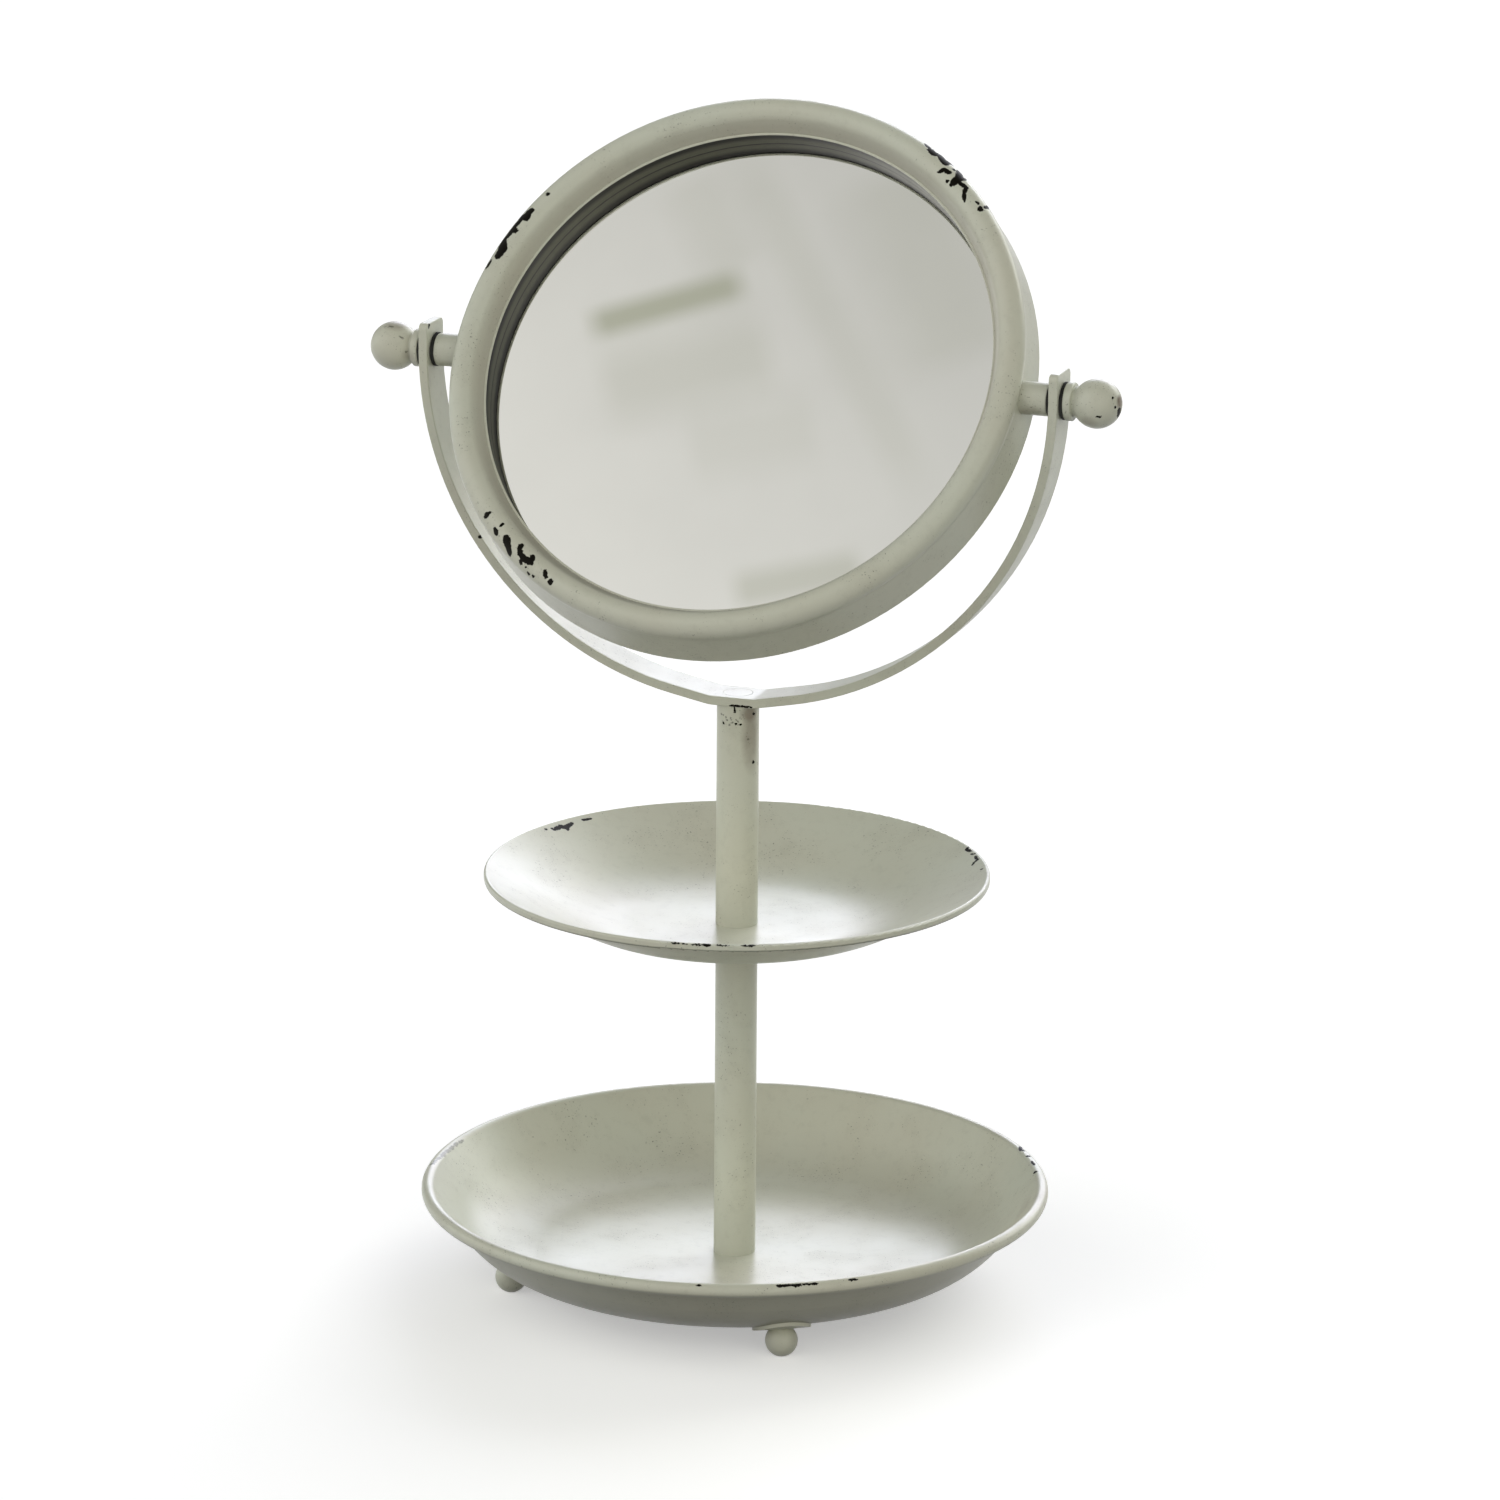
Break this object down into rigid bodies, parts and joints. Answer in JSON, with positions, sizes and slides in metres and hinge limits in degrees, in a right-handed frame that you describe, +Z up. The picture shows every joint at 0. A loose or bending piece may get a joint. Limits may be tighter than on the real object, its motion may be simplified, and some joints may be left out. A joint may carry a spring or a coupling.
{
  "type": "vanity mirror",
  "caption": "Round tilting vanity mirror in a strip yoke on a post with an upper tray and a dished base on ball feet",
  "frame": {"origin": "on the table under the post, at the centre of the four feet", "axes": "+Z up, +X the tilt axis to the right, -Y the side the mirror faces"},
  "size_m": [0.2944, 0.24, 0.4483],
  "materials": {
    "cream_paint": "warm off-white satin paint, worn and chipped at the rims",
    "zinc_steel": "zinc plated",
    "mirror_glass": "silvered glass",
    "black_rubber": "matt",
    "backing_board": "pressed fibreboard"
  },
  "bodies": {
    "stand": {"base_dish": "cream_paint", "foot_front_left": "cream_paint", "foot_front_right": "cream_paint", "foot_rear_left": "cream_paint", "foot_rear_right": "cream_paint", "base_nut": "zinc_steel", "base_washer": "zinc_steel", "tie_rod": "zinc_steel", "lower_post": "cream_paint", "lower_post_bush_bottom": "zinc_steel", "lower_post_bush_top": "zinc_steel", "upper_tray": "cream_paint", "upper_post": "cream_paint", "upper_post_bush": "zinc_steel", "top_plug": "zinc_steel", "yoke": "cream_paint", "yoke_screw": "cream_paint"},
    "mirror": {"mirror_frame": "cream_paint", "mirror_glass": "mirror_glass", "edge_packing": "black_rubber", "backing_board": "backing_board", "back_cover": "cream_paint", "boss_left": "cream_paint", "boss_right": "cream_paint", "inner_washer_left": "black_rubber", "inner_washer_right": "black_rubber"},
    "washer_left": {"outer_washer_left": "black_rubber"},
    "washer_right": {"outer_washer_right": "black_rubber"},
    "knob_left": {"knob_left": "cream_paint", "knob_stud_left": "zinc_steel"},
    "knob_right": {"knob_right": "cream_paint", "knob_stud_right": "zinc_steel"}
  },
  "joints": [
    {"name": "mirror_tilt", "type": "hinge", "parent": "stand", "child": "mirror", "pos_m": [0, 0, 0.3548], "axis": [1, 0, 0], "continuous": true},
    {"name": "knob_left_back_off", "type": "slide", "parent": "mirror", "child": "washer_left", "axis": [-1, 0, 0], "range_m": [0, 0.002]},
    {"name": "knob_left_turn", "type": "hinge", "parent": "washer_left", "child": "knob_left", "pos_m": [-0.138, 0, 0.3548], "axis": [-1, 0, 0], "range_deg": [0, 720.1]},
    {"name": "knob_right_back_off", "type": "slide", "parent": "mirror", "child": "washer_right", "axis": [1, 0, 0], "range_m": [0, 0.002]},
    {"name": "knob_right_turn", "type": "hinge", "parent": "washer_right", "child": "knob_right", "pos_m": [0.138, 0, 0.3548], "axis": [1, 0, 0], "range_deg": [0, 720.1]}
  ],
  "couplings": [
    {"joint": "knob_left_turn", "follows": "knob_left_back_off", "rad_per_m": 6283.2},
    {"joint": "knob_right_turn", "follows": "knob_right_back_off", "rad_per_m": 6283.2}
  ]
}
